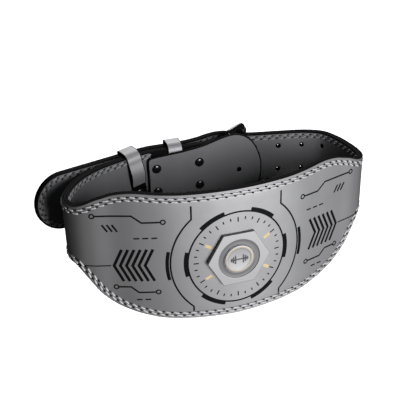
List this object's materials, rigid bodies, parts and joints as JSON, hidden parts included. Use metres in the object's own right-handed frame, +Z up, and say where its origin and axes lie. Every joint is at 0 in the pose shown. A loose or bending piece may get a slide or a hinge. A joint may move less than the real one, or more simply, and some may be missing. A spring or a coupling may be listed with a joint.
{
  "type": "weightlifting belt",
  "caption": "Closed weightlifting belt: wide contoured back panel with a hexagonal badge, strap with prong holes, roller buckle, guard flap and keepers.",
  "frame": {"origin": "middle of the bounding box in plan, on the surface that the belt rests on", "axes": "+X from the tail towards the plain side, seen from the badge; +Y from the badge towards the buckle; +Z up from the surface"},
  "size_m": [0.3608, 0.2122, 0.1419],
  "materials": {
    "outer_leather": "smooth satin grey leather with printed line work and double stitching",
    "edge_leather": "black leather with a painted edge",
    "lining_leather": "dark grey leather",
    "keeper_leather": "smooth mid grey leather strip",
    "black_metal": "glossy black coating on steel",
    "badge_metal": "pale satin grey coating"
  },
  "bodies": {
    "root": {"belt_outer_leather": "outer_leather", "belt_core": "edge_leather", "belt_lining": "lining_leather", "inner_flap": "lining_leather", "buckle_chape": "edge_leather", "buckle_frame": "black_metal", "buckle_roller": "black_metal", "buckle_prong_lower": "black_metal", "buckle_prong_upper": "black_metal", "keeper_buckle": "keeper_leather", "keeper_tip": "keeper_leather", "rivet_flap_1": "black_metal", "rivet_flap_2": "black_metal", "rivet_flap_3": "black_metal", "rivet_flap_4": "black_metal", "rivet_keeper": "black_metal", "badge_plate": "badge_metal", "badge_disc": "badge_metal"}
  },
  "joints": []
}
